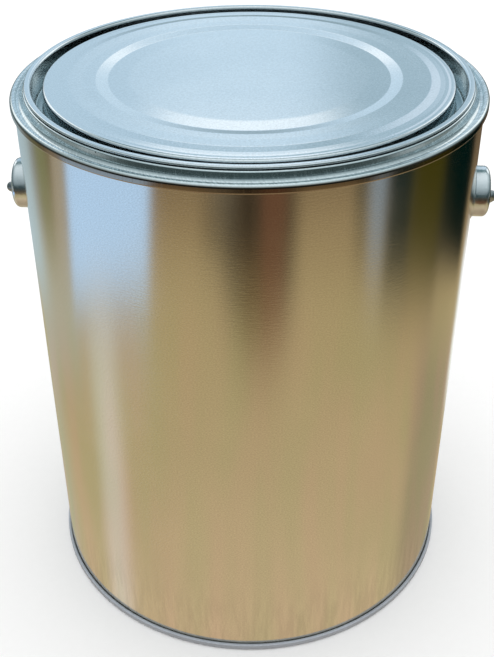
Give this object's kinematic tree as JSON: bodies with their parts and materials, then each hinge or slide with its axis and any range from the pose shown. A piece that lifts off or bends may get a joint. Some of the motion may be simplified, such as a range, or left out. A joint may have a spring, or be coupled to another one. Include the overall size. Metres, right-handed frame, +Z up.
{
  "type": "paint can",
  "caption": "Round tinplate paint can with double-seamed ends, a friction ring and plug lid, pressed ears and a wire bail handle.",
  "frame": {"origin": "centre of the can's underside, on the plane of the bottom seam, on the can's axis", "axes": "+Z up the can's axis towards the lid, +X towards one ear, +Y towards the back, where the bail hangs and the side seam runs"},
  "size_m": [0.1876, 0.1711, 0.2095],
  "materials": {
    "tinplate_body": "bright rolled tinplate, fine grain, unlacquered",
    "tinplate_end": "satin tinplate with a fine mottled grain",
    "ear_plate": "pressed bright tinplate",
    "bail_wire": "drawn galvanised wire",
    "seam_compound": "matt sealing compound"
  },
  "bodies": {
    "can": {"can_body": "tinplate_body", "bottom_end": "tinplate_end", "bottom_seam_compound": "seam_compound", "top_ring": "tinplate_end", "top_seam_compound": "seam_compound", "ear_left": "ear_plate", "ear_right": "ear_plate"},
    "lid": {"lid": "tinplate_end"},
    "bail": {"bail_handle": "bail_wire"}
  },
  "joints": [
    {"name": "lid_lift", "type": "slide", "parent": "can", "child": "lid", "axis": [0, 0, 1], "range_m": [0, 0.08]},
    {"name": "bail_swing", "type": "hinge", "parent": "can", "child": "bail", "pos_m": [0, 0, 0.1626], "axis": [1, 0, 0], "range_deg": [0, 246]}
  ]
}
